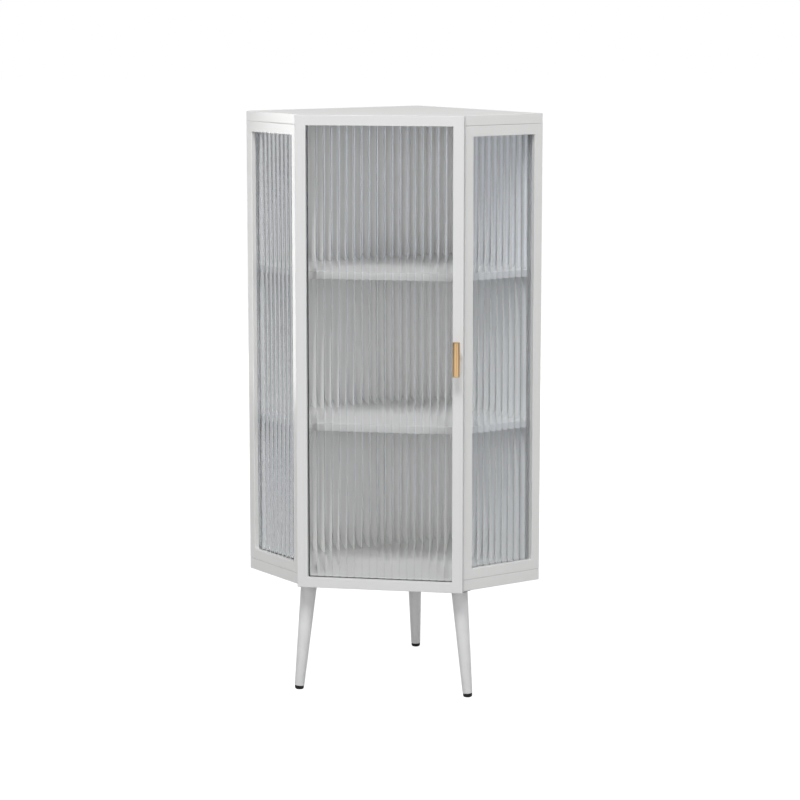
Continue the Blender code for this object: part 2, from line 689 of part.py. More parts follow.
def build_leg(label, foot, turn):
    """Tapered leg with its angled steel plate, hanger bolt and foot glide."""
    top = -PLATE_DROP - SEAT_GAP
    glide_top = GLIDE_HEIGHT - LEG_AXIS_LENGTH
    bottom = glide_top + SEAT_GAP
    bolt_seat = BOLT_RADIUS + SEAT_GAP
    stem_seat = GLIDE_STEM_RADIUS + SEAT_GAP
    stem_seat_top = bottom + GLIDE_STEM + SEAT_GAP
    profile = [
        (0, top - BOLT_BITE - SEAT_GAP), (bolt_seat, top - BOLT_BITE - SEAT_GAP), (bolt_seat, top),
        (LEG_TOP_RADIUS - LEG_EDGE, top), (LEG_TOP_RADIUS, top - LEG_EDGE),
        (LEG_FOOT_RADIUS, bottom + LEG_EDGE), (LEG_FOOT_RADIUS - LEG_EDGE, bottom),
        (stem_seat, bottom), (stem_seat, stem_seat_top), (0, stem_seat_top),
    ]
    leg = turned_object(f"{label}_leg", profile, LEG_SIDES, CABINET, WHITE_LACQUER)
    tilt(leg, foot, turn)

    flange_low = -SEAT_GAP - PLATE_THICKNESS
    mesh = rod_mesh("plate", PLATE_RADIUS, (0, 0, flange_low), (0, 0, -SEAT_GAP), LEG_SIDES)
    name = f"{label}_leg_plate"
    plate = place(name, mesh, CABINET, (*foot, LEG_HEIGHT), turn, ZINC_STEEL)
    lean = Matrix.Rotation(-LEG_TILT, 4, "Y")
    boss = rod_mesh("boss", PLATE_BOSS_RADIUS, (0, 0, -PLATE_DROP), (0, 0, PLATE_THICKNESS), LEG_SIDES)
    boss.transform(lean)
    combine(plate, cutter(name + "_boss", boss, plate.location, turn), "UNION")
    above = box_mesh(
        "above", (-PLATE_RADIUS, -PLATE_RADIUS, -SEAT_GAP), (PLATE_RADIUS, PLATE_RADIUS, PLATE_RADIUS)
    )
    combine(plate, cutter(name + "_top", above, plate.location, turn), "DIFFERENCE")
    below = -PLATE_DROP - CUT_OVERRUN
    bore = rod_mesh("bore", BOLT_RADIUS + SEAT_GAP, (0, 0, below), (0, 0, CUT_OVERRUN), LEG_SIDES)
    bore.transform(lean)
    combine(plate, cutter(name + "_bore", bore, plate.location, turn), "DIFFERENCE")
    for count in range(PLATE_HOLES):
        angle = 2 * math.pi * count / PLATE_HOLES
        mouth = (PLATE_HOLE_CIRCLE * math.cos(angle), PLATE_HOLE_CIRCLE * math.sin(angle), flange_low)
        drill(plate, PLATE_HOLE_RADIUS, mouth, (0, 0, 1), PLATE_THICKNESS + CUT_OVERRUN)

    profile = [
        (0, -BOLT_TOP_CLEARANCE), (BOLT_RADIUS, -BOLT_TOP_CLEARANCE),
        (BOLT_RADIUS, top - BOLT_BITE), (0, top - BOLT_BITE),
    ]
    bolt = turned_object(f"{label}_leg_bolt", profile, LEG_SIDES, CABINET, ZINC_STEEL)
    tilt(bolt, foot, turn)

    crown_low = glide_top - GLIDE_HEIGHT
    stem_top = glide_top + GLIDE_STEM
    profile = [
        (0, stem_top), (GLIDE_STEM_RADIUS, stem_top), (GLIDE_STEM_RADIUS, glide_top),
        (GLIDE_RADIUS, glide_top), (GLIDE_RADIUS, crown_low + GLIDE_CROWN),
    ]
    for count in range(1, GLIDE_ARC_STEPS + 1):
        angle = math.pi / 2 * count / GLIDE_ARC_STEPS
        reach = GLIDE_FLAT_RADIUS + (GLIDE_RADIUS - GLIDE_FLAT_RADIUS) * math.cos(angle)
        profile.append((reach, crown_low + GLIDE_CROWN * (1 - math.sin(angle))))
    profile += [(GLIDE_FLAT_RADIUS, crown_low - GLIDE_HEIGHT), (0, crown_low - GLIDE_HEIGHT)]
    glide = turned_object(f"{label}_foot_glide", profile, LEG_SIDES, CABINET, BLACK_PLASTIC)
    tilt(glide, foot, turn)
    shift = Vector((math.cos(turn), math.sin(turn), 0)) * LEG_SPLAY_RUN
    reach = LEG_HEIGHT / 2
    below = box_mesh("below", (-reach, -reach, -LEG_HEIGHT), (reach, reach, 0))
    ground = cutter(f"{label}_floor", below, Vector((*foot, 0)) + shift)
    combine(glide, ground, "DIFFERENCE")


def build_cabinet():
    """Build every piece of the cabinet."""
    axis = bpy.data.objects.new("door_hinge_axis", None)
    CABINET.objects.link(axis)
    axis.location = HINGE_AXIS
    build_boards()
    build_side(-1, "left")
    right_frame = build_side(1, "right")
    build_back(-1, "left", WALL_WIDTH)
    build_back(1, "right", WALL_WIDTH - BACK_THICKNESS - SEAT_GAP)
    build_shelves()
    build_pins()
    build_door(axis)
    for label, height in zip(HINGE_NAMES, hinge_heights()):
        build_hinge(label, height, axis)
    build_handle(axis)
    build_catches(right_frame, axis)
    for label, foot, turn in leg_places():
        build_leg(label, foot, turn)


build_cabinet()
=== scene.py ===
"""Looks of a five-sided corner cabinet: white lacquered woodwork, reeded glass, brass and small fittings.

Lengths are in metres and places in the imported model's frame: +Z up, the door towards -Y.
"""

import json
import logging
import math
from collections.abc import Iterable, Sequence
from dataclasses import dataclass, field
from enum import Enum
from functools import cached_property
from typing import ClassVar

import bmesh
import bpy
from mathutils import Matrix, Vector

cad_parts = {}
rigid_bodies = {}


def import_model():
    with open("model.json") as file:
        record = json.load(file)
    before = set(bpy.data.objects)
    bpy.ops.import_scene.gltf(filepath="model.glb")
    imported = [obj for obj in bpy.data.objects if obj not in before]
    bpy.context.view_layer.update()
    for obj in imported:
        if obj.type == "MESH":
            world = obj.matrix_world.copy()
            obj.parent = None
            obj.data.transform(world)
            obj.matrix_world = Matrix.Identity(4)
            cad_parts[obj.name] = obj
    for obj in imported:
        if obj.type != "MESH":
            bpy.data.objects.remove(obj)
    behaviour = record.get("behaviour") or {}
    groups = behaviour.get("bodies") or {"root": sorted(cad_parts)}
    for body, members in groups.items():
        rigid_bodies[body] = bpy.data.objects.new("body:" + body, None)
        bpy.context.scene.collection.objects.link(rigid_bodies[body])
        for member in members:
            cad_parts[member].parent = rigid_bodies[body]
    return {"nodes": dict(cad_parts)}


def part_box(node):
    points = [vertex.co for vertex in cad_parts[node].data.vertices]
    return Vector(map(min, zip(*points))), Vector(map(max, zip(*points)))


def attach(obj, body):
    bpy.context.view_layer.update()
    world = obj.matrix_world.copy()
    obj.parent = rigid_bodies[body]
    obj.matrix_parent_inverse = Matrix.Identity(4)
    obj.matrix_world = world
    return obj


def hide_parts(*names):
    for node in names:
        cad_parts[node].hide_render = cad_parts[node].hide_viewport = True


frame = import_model()

Tree = bpy.types.NodeTree
Node = bpy.types.Node
Socket = bpy.types.NodeSocket
Item = bpy.types.Object

LOG = logging.getLogger("corner_cabinet")

MM = 0.001
FIT_GAP = 0.3 * MM
MERGE_DISTANCE = 0.001 * MM
SMOOTH_ANGLE = math.radians(30)
HALF_TURN = math.radians(180)
QUARTER_TURN = math.radians(90)
EIGHTH_TURN = math.radians(45)
WHITE = (1.0, 1.0, 1.0, 1.0)

# Nearly all values of the noise texture lie between these two.
NOISE_LOW = 0.3
NOISE_HIGH = 0.7


class Body(Enum):
    """The two bodies that pieces ride on."""

    CABINET = "cabinet"
    DOOR = "door"


class Place(Enum):
    """A place on the cabinet that the names of nodes hold."""

    @property
    def label(self) -> str:
        """Return the place as the nodes spell it."""
        return self.name.lower()


class Hand(Place):
    """The two sides of the cabinet, seen from the front."""

    LEFT = -1
    RIGHT = 1


class Level(Place):
    """The two heights at which shelves, magnets and bumpers repeat."""

    LOWER = -1
    UPPER = 1


class Shine(Enum):
    """What a lamp does: light everything, or show only as a reflection in some pieces."""

    LIGHT = "light"
    WOOD_GLOSS = "wood_gloss"
    METAL_GLOSS = "metal_gloss"
    GLASS_GLOSS = "glass_gloss"


def linear(colour: str) -> tuple[float, float, float, float]:
    """Turn an sRGB hex colour into linear light.

    Args:
        colour: The colour as #RRGGBB.

    Returns:
        Red, green and blue in linear light, and an alpha of 1.
    """
    channels = [int(colour[start:start + 2], 16) / 255 for start in (1, 3, 5)]
    curved = [((c + 0.055) / 1.055) ** 2.4 if c > 0.04045 else c / 12.92 for c in channels]
    return (*curved, 1.0)


def per_metre(size_mm: float) -> float:
    """Return the texture scale at which one cell of a pattern is this many millimetres wide."""
    return 1 / (size_mm * MM)


def add_node(
    tree: Tree,
    kind: str,
    settings: dict[str | int, object] | None = None,
    links: dict[str | int, Socket] | None = None,
) -> Node:
    """Add a node with its settings and links.

    Args:
        tree: The node tree that gets the node.
        kind: The node's type, without its ShaderNode prefix.
        settings: Values by the name of a property, or by the name or number of an input.
        links: Output sockets by the name or number of the input that each feeds.

    Returns:
        The new node.
    """
    node = tree.nodes.new("ShaderNode" + kind)
    for key, value in (settings or {}).items():
        if isinstance(key, str) and hasattr(node, key):
            setattr(node, key, value)
        else:
            node.inputs[key].default_value = value
    for key, source in (links or {}).items():
        tree.links.new(source, node.inputs[key])
    return node


@dataclass(frozen=True)
class Finish:
    """A surface finish, and the record's slot that it stands for."""

    name: str
    slot: str

    @cached_property
    def material(self) -> bpy.types.Material:
        """Make the finish's material at its first use.

        Returns:
            The material.
        """
        made = bpy.data.materials.new(self.name)
        made.use_nodes = True
        self.paint(made.node_tree, made.node_tree.nodes["Principled BSDF"])
        return made

    def paint(self, tree: Tree, shader: Node) -> None:
        """Fill the material's node tree.

        Args:
            tree: The material's node tree.
            shader: Its Principled BSDF.
        """
        raise NotImplementedError

    def grain(
        self,
        tree: Tree,
        size_mm: float,
        stretch: tuple[float, float, float] = (1, 1, 1),
        detail: float = 2.0,
    ) -> Socket:
        """Add a noise pattern in real sizes on the piece's own coordinates.

        Args:
            tree: The material's node tree.
            size_mm: Width of one cell of the pattern, in millimetres.
            stretch: How much longer a cell is along each axis.
            detail: Octaves of finer noise.

        Returns:
            The pattern's value, from 0 to 1.
        """
        place = add_node(tree, "TexCoord").outputs["Object"]
        squeeze = tuple(1 / length for length in stretch)
        mapped = add_node(tree, "Mapping", {"Scale": squeeze}, {"Vector": place})
        settings = {"Scale": per_metre(size_mm), "Detail": detail}
        return add_node(tree, "TexNoise", settings, {"Vector": mapped.outputs[0]}).outputs[0]

    def vary(self, tree: Tree, value: Socket, low: float, high: float) -> Socket:
        """Spread a noise value over a range of numbers.

        Args:
            tree: The material's node tree.
            value: A noise value.
            low: The result at the noise's low end.
            high: The result at its high end.

        Returns:
            The spread value.
        """
        settings = {"From Min": NOISE_LOW, "From Max": NOISE_HIGH, "To Min": low, "To Max": high}
        return add_node(tree, "MapRange", settings, {"Value": value}).outputs[0]

    def blend_colours(self, tree: Tree, share: Socket, first: str, second: str) -> Socket:
        """Blend two colours.

        Args:
            tree: The material's node tree.
            share: Share of the second colour, from 0 to 1.
            first: sRGB hex colour at 0.
            second: sRGB hex colour at 1.

        Returns:
            The blended colour.
        """
        settings = {"data_type": "RGBA", 6: linear(first), 7: linear(second)}
        return add_node(tree, "Mix", settings, {0: share}).outputs[2]

    def emboss(self, tree: Tree, height: Socket, depth_mm: float) -> Socket:
        """Turn a height pattern into a bump of a real depth.

        Args:
            tree: The material's node tree.
            height: The pattern, from 0 to 1.
            depth_mm: Depth of the pattern from 0 to 1, in millimetres.

        Returns:
            The bumped normal.
        """
        settings = {"Strength": 1.0, "Distance": depth_mm * MM}
        return add_node(tree, "Bump", settings, {"Height": height}).outputs[0]


@dataclass(frozen=True)
class SprayedLacquer(Finish):
    """Satin lacquer sprayed on sanded fibreboard.

    It gives the eye an even white with soft, broad highlights, a faint cloudiness where the coat is
    thicker, and an orange peel that only shows in a grazing light. A cloud is about as wide as the spray
    fan, and the peel has the size of the drops that ran together.
    """

    light: str = "#EEEEED"
    shade: str = "#ECECEB"
    cloud_mm: float = 160.0
    gloss_clouds: float = 3.0
    peel_mm: float = 3.5
    peel_depth_mm: float = 0.012
    gloss: tuple[float, float] = (0.29, 0.35)

    def paint(self, tree: Tree, shader: Node) -> None:
        """Fill the tree with clouds of colour, a changing gloss and the orange peel.

        Args:
            tree: The material's node tree.
            shader: Its Principled BSDF.
        """
        cloud = self.vary(tree, self.grain(tree, self.cloud_mm), 0.0, 1.0)
        colour = self.blend_colours(tree, cloud, self.light, self.shade)
        rough = self.vary(tree, self.grain(tree, self.cloud_mm / self.gloss_clouds), *self.gloss)
        peel = self.emboss(tree, self.grain(tree, self.peel_mm), self.peel_depth_mm)
        tree.links.new(colour, shader.inputs["Base Color"])
        tree.links.new(rough, shader.inputs["Roughness"])
        tree.links.new(peel, shader.inputs["Normal"])


@dataclass(frozen=True)
class RolledGlass(Finish):
    """Clear soda-lime glass, pressed hot between rollers.

    It gives the eye bright liquid streaks down each rib, with slow ripples where the roller left them.
    """

    tint: str = "#FDFEFE"
    ior: float = 1.52
    roughness: float = 0.02
    ripple_mm: float = 9.0
    ripple_length: float = 30.0
    ripple_depth_mm: float = 0.0012

    def paint(self, tree: Tree, shader: Node) -> None:
        """Fill the tree with a clear, slightly rippled glass.

        Args:
            tree: The material's node tree.
            shader: Its Principled BSDF.
        """
        shader.inputs["Base Color"].default_value = linear(self.tint)
        shader.inputs["Roughness"].default_value = self.roughness
        shader.inputs["IOR"].default_value = self.ior
        shader.inputs["Transmission Weight"].default_value = 1.0
        ripple = self.grain(tree, self.ripple_mm, (1, 1, self.ripple_length), 1.0)
        normal = self.emboss(tree, ripple, self.ripple_depth_mm)
        tree.links.new(normal, shader.inputs["Normal"])


@dataclass(frozen=True)
class BrushedMetal(Finish):
    """Metal brushed along or across its length.

    It gives the eye a soft highlight drawn out across the brush lines, and fine streaks in it. Real brush
    lines are about 0.1 mm wide. These are drawn coarser, so that they show in a render.
    """

    light: str = "#E2BE90"
    shade: str = "#D6B07E"
    line_mm: float = 0.6
    stretch: tuple[float, float, float] = (1, 1, 40)
    line_depth_mm: float = 0.01
    gloss: tuple[float, float] = (0.29, 0.38)

    def paint(self, tree: Tree, shader: Node) -> None:
        """Fill the tree with brush lines in colour, gloss and depth.

        Args:
            tree: The material's node tree.
            shader: Its Principled BSDF.
        """
        lines = self.grain(tree, self.line_mm, self.stretch, 3.0)
        share = self.vary(tree, lines, 0.0, 1.0)
        rough = self.vary(tree, lines, *self.gloss)
        shader.inputs["Metallic"].default_value = 1.0
        tree.links.new(self.blend_colours(tree, share, self.light, self.shade), shader.inputs["Base Color"])
        tree.links.new(rough, shader.inputs["Roughness"])
        tree.links.new(self.emboss(tree, lines, self.line_depth_mm), shader.inputs["Normal"])


@dataclass(frozen=True)
class PlatedSteel(Finish):
    """Steel with a zinc or nickel plate over a rolled or headed surface.

    It gives the eye a cool grey shine, mottled where the plate is thicker. The mottle has the size of the
    dull spots on small plated screws.
    """

    light: str = "#C9CBCC"
    shade: str = "#B4B7BA"
    mottle_mm: float = 2.5
    gloss: tuple[float, float] = (0.29, 0.4)
    skin_depth_mm: float = 0.006

    def paint(self, tree: Tree, shader: Node) -> None:
        """Fill the tree with a mottled plate.

        Args:
            tree: The material's node tree.
            shader: Its Principled BSDF.
        """
        mottle = self.grain(tree, self.mottle_mm)
        share = self.vary(tree, mottle, 0.0, 1.0)
        shader.inputs["Metallic"].default_value = 1.0
        tree.links.new(self.blend_colours(tree, share, self.light, self.shade), shader.inputs["Base Color"])
        tree.links.new(self.vary(tree, mottle, *self.gloss), shader.inputs["Roughness"])
        tree.links.new(self.emboss(tree, mottle, self.skin_depth_mm), shader.inputs["Normal"])


@dataclass(frozen=True)
class MouldedPlastic(Finish):
    """Injection moulded plastic with a fine spark-eroded texture.

    It gives the eye an even colour and a dull, slightly grainy shine. Real mould texture is about 0.2 mm
    wide. It is drawn coarser, so that it shows in a render.
    """

    light: str = "#1B1B1B"
    shade: str = "#141414"
    texture_mm: float = 0.8
    texture_depth_mm: float = 0.01
    patch_cells: float = 12.0
    gloss: tuple[float, float] = (0.38, 0.5)
    clear: float = 0.0

    def paint(self, tree: Tree, shader: Node) -> None:
        """Fill the tree with the mould's texture.

        Args:
            tree: The material's node tree.
            shader: Its Principled BSDF.
        """
        texture = self.grain(tree, self.texture_mm)
        share = self.vary(tree, self.grain(tree, self.texture_mm * self.patch_cells), 0.0, 1.0)
        shader.inputs["Transmission Weight"].default_value = self.clear
        tree.links.new(self.blend_colours(tree, share, self.light, self.shade), shader.inputs["Base Color"])
        tree.links.new(self.vary(tree, texture, *self.gloss), shader.inputs["Roughness"])
        tree.links.new(self.emboss(tree, texture, self.texture_depth_mm), shader.inputs["Normal"])


# Sprayed on sanded board: a clean satin white, on every board, frame and panel.
BOARD_LACQUER = SprayedLacquer("satin_lacquer_sprayed_on_fibreboard", "white_lacquer")

# The same paint on turned wood: smaller clouds and a finer peel, as a narrow part gets less paint.
LEG_LACQUER = SprayedLacquer(
    "satin_lacquer_sprayed_on_turned_beech", "white_leg_lacquer",
    light="#EDEDED", shade="#E7E7E8", cloud_mm=40.0, peel_mm=2.5,
)

# Powder baked on pressed steel: a white as pale as the woodwork's, with a fine pebbled skin.
HINGE_ENAMEL = SprayedLacquer(
    "steel_pressed_powder_coated_white", "white_steel",
    light="#EDEDEC", shade="#E6E6E5", cloud_mm=12.0, peel_mm=1.2,
)

# Clear and fully see-through, so that the ribs alone bend what lies behind.
DOOR_GLASS = RolledGlass("soda_lime_glass_rolled_with_reeds", "reeded_glass")

# The same glass with a faint cool tint. The tint is painted light: it stands in for the bluish light that
# shows at the top of the left pane.
SIDE_GLASS_PAINTED_COOL_LIGHT = RolledGlass("soda_lime_glass_rolled_with_reeds_cool_tint", "reeded_glass", tint="#F2F5F8")

# Extruded clear: it lets the white of the rebates beside the side panes through.
SIDE_BEAD = MouldedPlastic(
    "silicone_extruded_clear", "glazing_bead",
    light="#F4F5F5", shade="#ECEDED", gloss=(0.29, 0.36), clear=0.9,
)

# Dark and dull: painted shade. The bead's dark grey draws the thin shadow line beside the door's outermost
# rib, where the rebate lies in shade.
DOOR_BEAD_PAINTED_SHADE = MouldedPlastic(
    "rubber_extruded_dark_grey", "glazing_bead", light="#4A4947", shade="#403F3E", gloss=(0.4, 0.5),
)

# A strip ironed on the shelf's front, smoother than the paint beside it. Its grey is painted shade: it
# darkens the shelves' front faces below their lit tops.
EDGE_BAND_PAINTED_SHADE = MouldedPlastic(
    "abs_edging_satin_white", "white_lacquer", light="#D8D8D7", shade="#D3D3D2", gloss=(0.3, 0.4),
)

# Brushed along the bar: a warm, pale gold with a bright middle and darker edges.
HANDLE_BRASS = BrushedMetal("brass_bar_brushed_and_lacquered", "satin_brass")

# Turned and plated: a warm silver shine on the shelf pins.
PIN_NICKEL = PlatedSteel("steel_turned_nickel_plated", "nickel_steel", light="#D2D0CB", shade="#BFBDB8")

# Headed and plated: the cool grey of small fittings.
SCREW_ZINC = PlatedSteel("steel_headed_zinc_plated", "zinc_steel")

# Pressed from powder and plated: close to a mirror.
MAGNET_NICKEL = PlatedSteel("magnet_sintered_nickel_plated", "magnet_nickel", gloss=(0.14, 0.24))

# Cast in a drop: clear as water, with a wet shine.
BUMPER_RUBBER = MouldedPlastic(
    "polyurethane_cast_clear", "clear_rubber",
    light="#F2F4F4", shade="#E9ECEC", gloss=(0.12, 0.2), clear=0.85,
)

# Moulded in black: dull and dark under the legs.
GLIDE_PLASTIC = MouldedPlastic("polyethylene_moulded_black", "black_glide")


@dataclass(frozen=True)
class Fit:
    """Where a piece belongs: its name, its body and the nodes that it stands for."""

    name: str
    body: Body = Body.CABINET
    replaced: tuple[str, ...] = ()


class Blank:
    """One mesh on the bench, shaped step by step in its own axes."""

    def __init__(self) -> None:
        """Start with an empty mesh."""
        self.mesh = bmesh.new()

    def block(self, low: Sequence[float], high: Sequence[float]) -> "Blank":
        """Add a block.

        Args:
            low: Its lowest corner.
            high: Its highest corner.

        Returns:
            The blank itself.
        """
        low, high = Vector(low), Vector(high)
        verts = bmesh.ops.create_cube(self.mesh, size=1)["verts"]
        bmesh.ops.scale(self.mesh, vec=high - low, verts=verts)
        bmesh.ops.translate(self.mesh, vec=(low + high) / 2, verts=verts)
        return self

    def turn(self, profile: Sequence[tuple[float, float]], steps: int = 64) -> "Blank":
        """Turn a profile round the Z axis.

        Args:
            profile: Points as (radius, height), from one end of the axis to the other.
            steps: Steps of the full turn.

        Returns:
            The blank itself.
        """
        verts = [self.mesh.verts.new((radius, 0, height)) for radius, height in profile]
        edges = [self.mesh.edges.new(pair) for pair in zip(verts, verts[1:])]
        bmesh.ops.spin(
            self.mesh, geom=verts + edges, cent=(0, 0, 0), axis=(0, 0, 1), angle=math.tau,
            steps=steps, use_merge=True,
        )
        return self.close()

    def close(self) -> "Blank":
        """Merge doubles and point the faces outwards.

        Returns:
            The blank itself.
        """
        bmesh.ops.remove_doubles(self.mesh, verts=self.mesh.verts[:], dist=MERGE_DISTANCE)
        bmesh.ops.recalc_face_normals(self.mesh, faces=self.mesh.faces[:])
        return self

    def ease(self, radius: float, segments: int = 3, sharp: float = SMOOTH_ANGLE) -> "Blank":
        """Round every sharp edge.

        Args:
            radius: Width of the rounding.
            segments: Faces across it.
            sharp: Angle between faces past which an edge is rounded.

        Returns:
            The blank itself.
        """
        edges = [edge for edge in self.mesh.edges if edge.is_manifold and edge.calc_face_angle() > sharp]
        bmesh.ops.bevel(
            self.mesh, geom=edges, offset=radius, offset_type="OFFSET", segments=segments,
            profile=0.5, affect="EDGES", material=-1, clamp_overlap=True,
        )
        return self

    def cut(self, point: Sequence[float], normal: Sequence[float]) -> "Blank":
        """Saw off what lies on the far side of a plane and close the cut.

        Args:
            point: A point on the plane.
            normal: The side that falls off.

        Returns:
            The blank itself.
        """
        geometry = self.mesh.verts[:] + self.mesh.edges[:] + self.mesh.faces[:]
        made = bmesh.ops.bisect_plane(
            self.mesh, geom=geometry, dist=MERGE_DISTANCE, plane_co=point, plane_no=normal, clear_outer=True,
        )
        rim = [item for item in made["geom_cut"] if isinstance(item, bmesh.types.BMEdge)]
        bmesh.ops.contextual_create(self.mesh, geom=rim)
        return self.close()

    def move(self, matrix: Matrix) -> "Blank":
        """Move the whole blank."""
        bmesh.ops.transform(self.mesh, matrix=matrix, verts=self.mesh.verts[:])
        return self

    def copies(self, places: Iterable[Matrix]) -> "Blank":
        """Return a new blank that holds a copy of this one at each place.

        Args:
            places: Where the copies go.

        Returns:
            The new blank.
        """
        group = Blank()
        for place in places:
            data = bpy.data.meshes.new("copy")
            self.mesh.to_mesh(data)
            data.transform(place)
            group.mesh.from_mesh(data)
            bpy.data.meshes.remove(data)
        return group

    def combine(self, tool: "Blank", operation: str) -> "Blank":
        """Cut this blank with another one, or join them.

        Args:
            tool: The other blank, which is used up.
            operation: UNION or DIFFERENCE.

        Returns:
            The blank itself.
        """
        items = []
        for blank in (self, tool):
            data = bpy.data.meshes.new("bench")
            blank.mesh.to_mesh(data)
            item = bpy.data.objects.new("bench", data)
            bpy.context.scene.collection.objects.link(item)
            items.append(item)
        modifier = items[0].modifiers.new("combine", "BOOLEAN")
        modifier.operation = operation
        modifier.object = items[1]
        ready = items[0].evaluated_get(bpy.context.evaluated_depsgraph_get())
        self.mesh.clear()
        self.mesh.from_mesh(ready.to_mesh())
        ready.to_mesh_clear()
        for item in items:
            data = item.data
            bpy.data.objects.remove(item)
            bpy.data.meshes.remove(data)
        tool.mesh.free()
        return self.close()

    def hand_over(self, fit: Fit, finish: Finish) -> Item:
        """Make the object, dress it and set it on its body.

        Args:
            fit: Where the piece belongs.
            finish: Its surface finish.

        Returns:
            The finished piece.
        """
        data = bpy.data.meshes.new(fit.name)
        self.mesh.to_mesh(data)
        self.mesh.free()
        data.shade_smooth()
        data.set_sharp_from_angle(angle=SMOOTH_ANGLE)
        data.materials.append(finish.material)
        item = bpy.data.objects.new(fit.name, data)
        bpy.context.scene.collection.objects.link(item)
        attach(item, fit.body.value)
        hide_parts(*fit.replaced)
        LOG.info("made %s, %d faces, in %s", fit.name, len(data.polygons), finish.name)
        return item


def dress(finish: Finish, *names: str) -> None:
    """Give CAD nodes a finish and leave their shape alone.

    Args:
        finish: The surface finish.
        names: The nodes.
    """
    for name in names:
        node = frame["nodes"][name]
        node.data.materials.clear()
        node.data.materials.append(finish.material)
        LOG.info("dressed %s in %s", name, finish.name)


@dataclass(frozen=True)
class CrossScrew:
    """A countersunk screw with a cross recess. Its head's face lies at the origin and looks along +Z."""

    head_radius: float = 3.6 * MM
    head_depth: float = 2.2 * MM
    shank_radius: float = 1.7 * MM
    length: float = 12 * MM
    rim: float = 0.25 * MM
    recess_reach: float = 2.1 * MM
    recess_width: float = 0.75 * MM
    recess_depth: float = 1.5 * MM
    sides: int = 40

    def drive(self, name: str, body: Body, place: Vector, turn: Matrix = Matrix()) -> None:
        """Make the screw and put it in its place.

        Args:
            name: Its name.
            body: The body that it rides on.
            place: The middle of its head's face.
            turn: How it is turned from looking along +Z.
        """
        self.blank().move(Matrix.Translation(place) @ turn).hand_over(Fit(name, body), SCREW_ZINC)

    def blank(self) -> Blank:
        """Turn the screw and cut its recess.

        Returns:
            The closed blank.
        """
        shank_end = self.shank_radius - self.length
        profile = [
            (0, 0), (self.head_radius, 0), (self.head_radius, -self.rim),
            (self.shank_radius, -self.head_depth), (self.shank_radius, shank_end), (0, -self.length),
        ]
        screw = Blank().turn(profile, self.sides)
        half = self.recess_width / 2
        for reach_x, reach_y in ((self.recess_reach, half), (half, self.recess_reach)):
            slot = Blank().block((-reach_x, -reach_y, -self.recess_depth), (reach_x, reach_y, self.rim))
            screw.combine(slot, "DIFFERENCE")
        return screw


SMALL_SCREW = CrossScrew(
    head_radius=2.6 * MM,
    head_depth=1.6 * MM,
    shank_radius=1.2 * MM,
    length=10 * MM,
    rim=0.2 * MM,
    recess_reach=1.5 * MM,
    recess_width=0.6 * MM,
    recess_depth=1.0 * MM,
)


@dataclass(frozen=True)
class Carcass:
    """The fixed woodwork: boards, side frames, wall panels, and shelves with an edging in front."""

    boards: ClassVar[tuple[str, ...]] = ("top_board", "bottom_board")
    panels: ClassVar[tuple[str, ...]] = ("left_back_panel", "right_back_panel")
    frames: ClassVar[tuple[str, ...]] = ("left_side_frame", "right_side_frame")
    shelves: ClassVar[tuple[str, ...]] = ("lower_shelf", "upper_shelf")
    edging: float = 0.5 * MM
    edging_easing: float = 0.2 * MM
    edging_segments: int = 2

    def build(self) -> None:
        """Dress the woodwork and glue an edging to the front of each shelf."""
        dress(BOARD_LACQUER, *self.boards, *self.panels, *self.frames, *self.shelves)
        for name in self.shelves:
            low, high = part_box(name)
            places = [vert.co for vert in frame["nodes"][name].data.vertices]
            front = [place.x for place in places if place.y < low.y + FIT_GAP]
            strip = Blank().block((min(front), low.y - self.edging, low.z), (max(front), low.y, high.z))
            strip.ease(self.edging_easing, self.edging_segments)
            # The edging's grey is painted shade on each shelf's front face.
            strip.hand_over(Fit(f"{name}_front_edging"), EDGE_BAND_PAINTED_SHADE)


@dataclass(frozen=True)
class ReededPane:
    """A pane of rolled glass: upright convex ribs on the outer face, flat inside.

    Its seat has the ribs' crest at y 0 and the pane's middle at the origin, with +Y inwards.
    """

    fit: Fit
    finish: RolledGlass
    width: float
    height: float
    seat: Matrix
    body_thickness: float = 2.4 * MM
    rib_height: float = 3.6 * MM
    rib_pitch: float = 16.3 * MM
    rib_steps: int = 24

    def sink(self, across: float) -> float:
        """Work out how far the ribbed face lies behind the crests.

        Args:
            across: Distance from the pane's middle.

        Returns:
            The depth there.
        """
        radius = self.rib_pitch ** 2 / (8 * self.rib_height) + self.rib_height / 2
        offset = across - round(across / self.rib_pitch) * self.rib_pitch
        return radius - math.sqrt(radius ** 2 - offset ** 2)

    def build(self) -> Item:
        """Rib a sheet and give it its thickness.

        Returns:
            The finished pane.
        """
        step = self.rib_pitch / self.rib_steps
        columns = 2 * math.ceil(self.width / 2 / step)
        blank = Blank()
        bmesh.ops.create_grid(blank.mesh, x_segments=columns, y_segments=1, size=0.5)
        stand = Matrix.Rotation(QUARTER_TURN, 4, "X") @ Matrix.Diagonal((columns * step, self.height, 1, 1))
        blank.move(stand)
        for side in Hand:
            geometry = blank.mesh.verts[:] + blank.mesh.edges[:] + blank.mesh.faces[:]
            bmesh.ops.bisect_plane(
                blank.mesh, geom=geometry, plane_co=(side.value * self.width / 2, 0, 0),
                plane_no=(side.value, 0, 0), clear_outer=True,
            )
        for vert in blank.mesh.verts:
            vert.co.y = self.sink(vert.co.x)
        made = bmesh.ops.extrude_face_region(blank.mesh, geom=blank.mesh.faces[:])
        for vert in made["geom"]:
            if isinstance(vert, bmesh.types.BMVert):
                vert.co.y = self.rib_height + self.body_thickness
        return blank.close().move(self.seat).hand_over(self.fit, self.finish)


